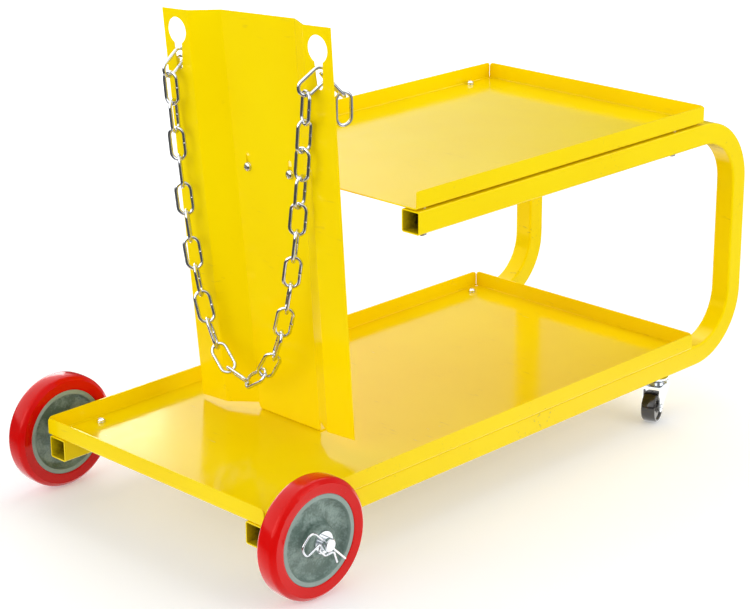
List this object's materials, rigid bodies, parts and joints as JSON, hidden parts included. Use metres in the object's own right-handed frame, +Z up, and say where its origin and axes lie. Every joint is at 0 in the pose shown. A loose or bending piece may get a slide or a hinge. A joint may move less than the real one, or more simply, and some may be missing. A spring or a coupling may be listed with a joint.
{
  "type": "gas cylinder cart",
  "caption": "Welding cart with an upper and a lower shelf, a folded back plate and chain for a gas cylinder, big front wheels and rear swivel casters.",
  "frame": {"origin": "on the floor, under the middle of the cart's bounding box", "axes": "+X along the cart from the cylinder end with the big wheels to the caster end, +Z up"},
  "size_m": [0.824, 0.46, 0.5391],
  "materials": {
    "frame_yellow": "gloss powder coat",
    "sheet_yellow": "gloss powder coat on folded sheet",
    "tyre_red": "smooth moulded polyurethane",
    "hub_grey": "moulded grey-green",
    "bushing_dark": "plain",
    "zinc_bright": "bright zinc plate",
    "chain_steel": "bright zinc plate",
    "fastener_steel": "zinc plated",
    "ball_steel": "polished",
    "caster_black": "hard moulded"
  },
  "bodies": {
    "cart_frame": {"side_rail_left": "frame_yellow", "side_rail_right": "frame_yellow", "lower_shelf": "sheet_yellow", "upper_shelf": "sheet_yellow", "back_plate": "sheet_yellow", "wheel_axle": "zinc_bright", "axle_spacers": "zinc_bright", "axle_washers": "zinc_bright", "r_clip_left": "zinc_bright", "r_clip_right": "zinc_bright", "lower_shelf_screws": "fastener_steel", "lower_shelf_nuts": "fastener_steel", "upper_shelf_screws": "fastener_steel", "upper_shelf_spacers": "fastener_steel", "upper_shelf_nuts": "fastener_steel", "plate_screws": "fastener_steel", "plate_nuts": "fastener_steel", "foot_screws": "fastener_steel", "foot_nuts": "fastener_steel", "caster_stem_left": "zinc_bright", "caster_stem_right": "zinc_bright", "caster_weld_nuts": "fastener_steel", "chain_hook_link_left": "chain_steel", "chain_hook_link_right": "chain_steel", "chain_retaining_links": "chain_steel"},
    "left_wheel": {"wheel_tyre_left": "tyre_red", "wheel_hub_left": "hub_grey", "wheel_bushing_left": "bushing_dark"},
    "right_wheel": {"wheel_tyre_right": "tyre_red", "wheel_hub_right": "hub_grey", "wheel_bushing_right": "bushing_dark"},
    "left_swivel": {"caster_fork_left": "zinc_bright", "caster_balls_left": "ball_steel", "caster_rivet_left": "zinc_bright"},
    "right_swivel": {"caster_fork_right": "zinc_bright", "caster_balls_right": "ball_steel", "caster_rivet_right": "zinc_bright"},
    "left_roller": {"caster_wheel_left": "caster_black"},
    "right_roller": {"caster_wheel_right": "caster_black"},
    "hanging_chain": {"chain_loop": "chain_steel"}
  },
  "joints": [
    {"name": "left_wheel_spin", "type": "hinge", "parent": "cart_frame", "child": "left_wheel", "pos_m": [-0.347, -0.2015, 0.065], "axis": [0, 1, 0], "continuous": true},
    {"name": "right_wheel_spin", "type": "hinge", "parent": "cart_frame", "child": "right_wheel", "pos_m": [-0.347, 0.2015, 0.065], "axis": [0, 1, 0], "continuous": true},
    {"name": "left_caster_swivel", "type": "hinge", "parent": "cart_frame", "child": "left_swivel", "pos_m": [0.267, -0.1585, 0.045], "axis": [0, 0, 1], "continuous": true},
    {"name": "left_roller_spin", "type": "hinge", "parent": "left_swivel", "child": "left_roller", "pos_m": [0.25384, -0.16329, 0.019], "axis": [-0.342, 0.9397, 0], "continuous": true},
    {"name": "right_caster_swivel", "type": "hinge", "parent": "cart_frame", "child": "right_swivel", "pos_m": [0.267, 0.1585, 0.045], "axis": [0, 0, 1], "continuous": true},
    {"name": "right_roller_spin", "type": "hinge", "parent": "right_swivel", "child": "right_roller", "pos_m": [0.25384, 0.15371, 0.019], "axis": [-0.342, 0.9397, 0], "continuous": true},
    {"name": "chain_swing", "type": "hinge", "parent": "cart_frame", "child": "hanging_chain", "pos_m": [-0.21801, 0.03637, 0.46555], "axis": [-0.0102, 0.998, -0.0628], "range_deg": [-2, 60]}
  ]
}
